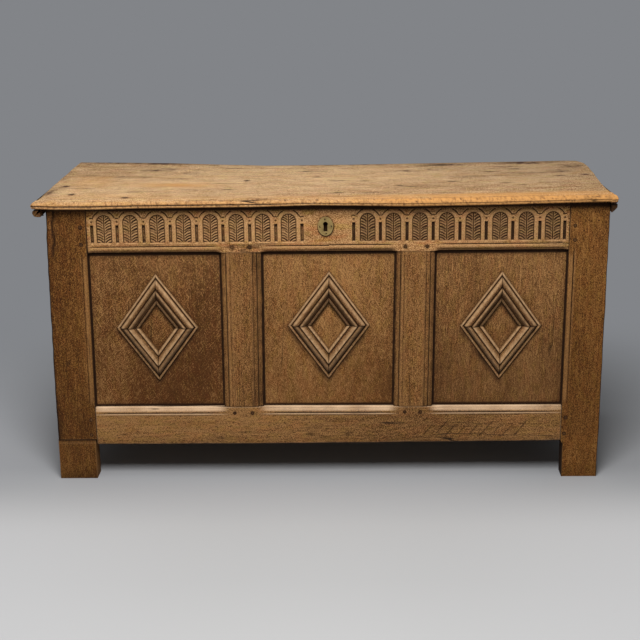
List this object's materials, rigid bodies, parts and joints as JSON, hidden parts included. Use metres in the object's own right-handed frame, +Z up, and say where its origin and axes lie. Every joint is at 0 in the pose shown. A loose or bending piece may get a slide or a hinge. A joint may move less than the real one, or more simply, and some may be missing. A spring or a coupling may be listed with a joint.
{
  "type": "coffer chest",
  "caption": "Joined oak coffer on tall corner posts, three framed panels with applied lozenges, a carved arcade below a hinged plank lid and a lock.",
  "frame": {"origin": "on the floor, below the middle of the lid", "axes": "+Z up, front faces -Y, +X to the right as seen from the front"},
  "size_m": [1.31, 0.49, 0.678],
  "materials": {
    "oak_frame": "old waxed oak, dark brown",
    "oak_panel": "old waxed oak, brown with fine grain",
    "oak_lid": "dry scrubbed oak, pale with stains",
    "oak_moulding": "old waxed oak, rubbed on the high parts",
    "oak_peg": "dark end-grain oak",
    "oak_inner": "raw sawn oak, grey brown",
    "iron": "hand-forged iron, black with rust",
    "spring_steel": "dull spring steel",
    "brass": "tarnished brass"
  },
  "bodies": {
    "carcass": {"centre_lozenge": "oak_moulding", "escutcheon": "brass", "escutcheon_pins": "brass", "floor_board_1": "oak_inner", "floor_board_2": "oak_inner", "floor_board_3": "oak_inner", "floor_board_4": "oak_inner", "floor_nails": "iron", "front_bottom_rail": "oak_frame", "front_centre_panel": "oak_panel", "front_left_foot_block": "oak_frame", "front_left_muntin": "oak_frame", "front_left_panel": "oak_panel", "front_left_stile": "oak_frame", "front_pegs": "oak_peg", "front_right_muntin": "oak_frame", "front_right_panel": "oak_panel", "front_right_stile": "oak_frame", "front_top_rail": "oak_frame", "hinge_pins": "iron", "leaf_nails": "iron", "left_bottom_rail": "oak_frame", "left_front_panel": "oak_panel", "left_hinge_leaf": "iron", "left_lozenge": "oak_moulding", "left_muntin": "oak_frame", "left_rear_panel": "oak_panel", "left_top_rail": "oak_frame", "lock_case": "iron", "lock_nails": "iron", "lock_spring": "spring_steel", "rear_bottom_rail": "oak_frame", "rear_centre_panel": "oak_panel", "rear_left_muntin": "oak_frame", "rear_left_panel": "oak_panel", "rear_left_stile": "oak_frame", "rear_pegs": "oak_peg", "rear_right_muntin": "oak_frame", "rear_right_panel": "oak_panel", "rear_right_stile": "oak_frame", "rear_top_rail": "oak_frame", "right_bottom_rail": "oak_frame", "right_front_panel": "oak_panel", "right_hinge_leaf": "iron", "right_lozenge": "oak_moulding", "right_muntin": "oak_frame", "right_rear_panel": "oak_panel", "right_top_rail": "oak_frame", "side_pegs": "oak_peg"},
    "lid": {"cleat_nails": "iron", "left_hinge_strap": "iron", "lid_front_board": "oak_lid", "lid_left_cleat": "oak_lid", "lid_rear_board": "oak_lid", "lid_right_cleat": "oak_lid", "lid_staple": "iron", "right_hinge_strap": "iron", "staple_nails": "iron", "strap_nails": "iron"},
    "bolt": {"lock_bolt": "iron"}
  },
  "joints": [
    {"name": "lid_hinge", "type": "hinge", "parent": "carcass", "child": "lid", "pos_m": [0, 0.2305, 0.6545], "axis": [-1, 0, 0], "range_deg": [0, 118]},
    {"name": "lock_bolt_slide", "type": "slide", "parent": "carcass", "child": "bolt", "axis": [1, 0, 0], "range_m": [0, 0.012]}
  ]
}
